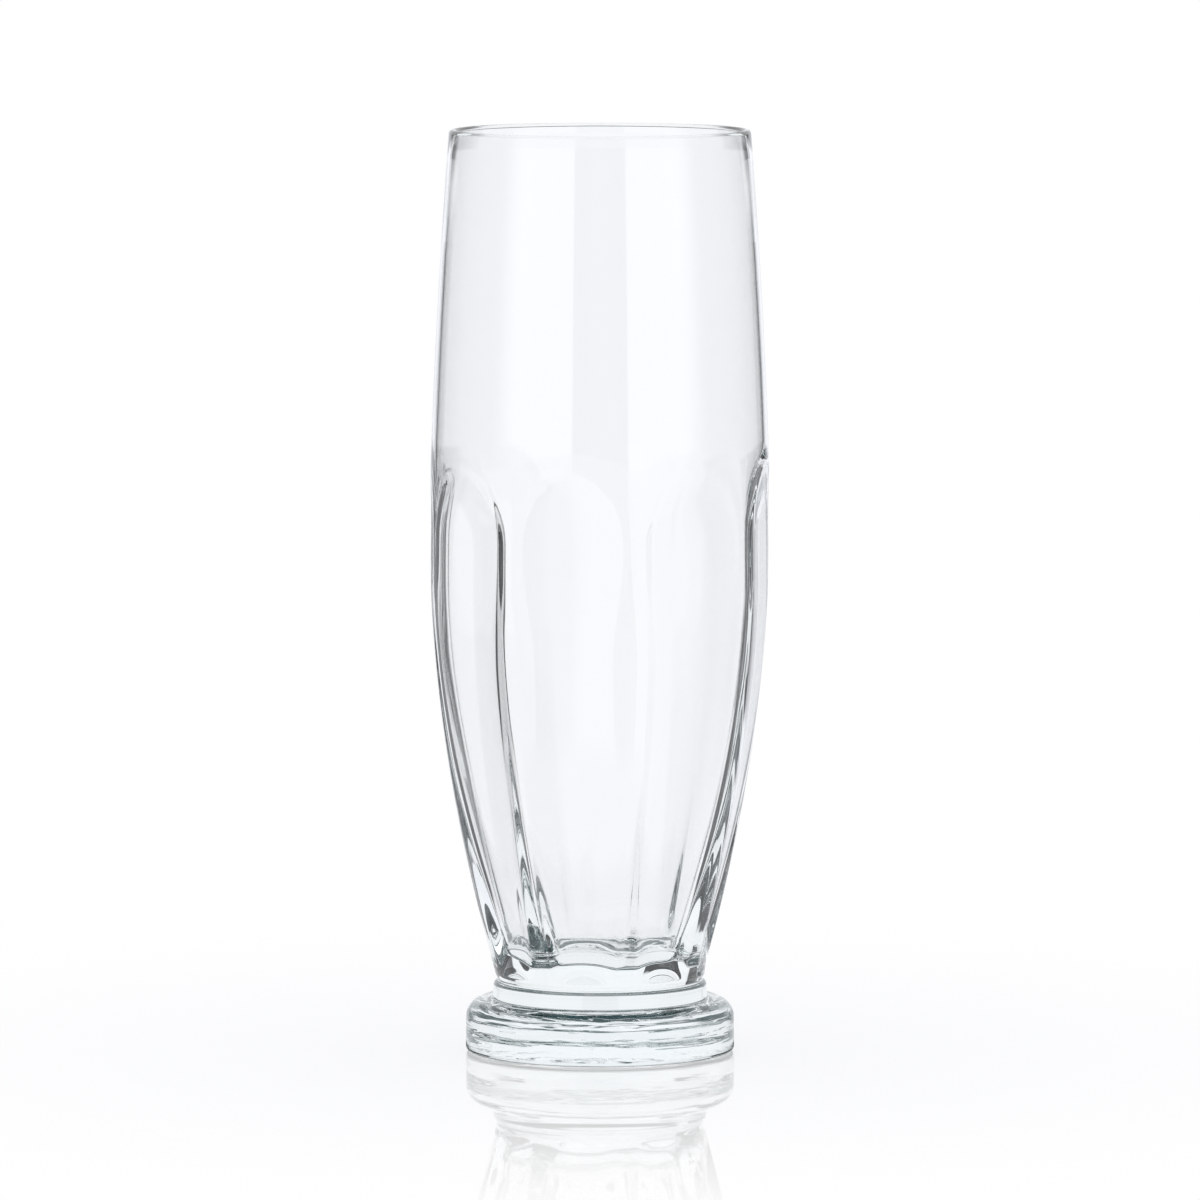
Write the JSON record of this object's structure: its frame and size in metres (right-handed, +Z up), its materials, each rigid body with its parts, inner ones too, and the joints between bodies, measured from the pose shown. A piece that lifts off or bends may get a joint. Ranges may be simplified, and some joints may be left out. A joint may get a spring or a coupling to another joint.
{
  "type": "beer tumbler",
  "caption": "Tall footed beer tumbler in clear glass: barrel-shaped bowl with arched panels round its lower half, a short waisted collar and a thick round foot.",
  "frame": {"origin": "centre of the foot's underside, in the plane of the table", "axes": "+Z up along the glass's axis of turning; one of the eight arched panels faces -Y, the front"},
  "size_m": [0.0758, 0.0758, 0.207],
  "materials": {
    "clear_glass": "fire-polished soda-lime glass, colourless, high gloss"
  },
  "bodies": {
    "root": {"bowl": "clear_glass", "neck_collar": "clear_glass", "foot": "clear_glass"}
  },
  "joints": []
}
